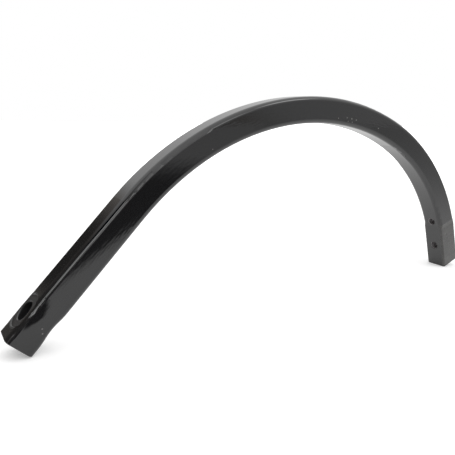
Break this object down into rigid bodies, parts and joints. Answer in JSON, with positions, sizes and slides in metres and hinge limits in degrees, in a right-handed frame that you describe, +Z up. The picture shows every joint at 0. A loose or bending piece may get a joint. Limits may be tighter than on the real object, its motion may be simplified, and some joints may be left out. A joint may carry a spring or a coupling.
{
  "type": "cultivator tine",
  "caption": "C-shaped cultivator tine bent from round-cornered square spring-steel bar, with a seated bolt eye in its straight shank and a pressed tip drilled for a bolt-on share.",
  "frame": {"origin": "on the floor, midway along the overall length, in the middle plane of the bar: the bottom centre of the bounding box", "axes": "+Z up, with the tine standing as an arch on the inner edges of its two cut ends; +X along the floor from the shank's end to the tip; Y across the bar"},
  "size_m": [0.7244, 0.039, 0.277],
  "materials": {
    "paint": "gloss black paint with a slight orange peel"
  },
  "bodies": {
    "root": {"tine": "paint"}
  },
  "joints": []
}
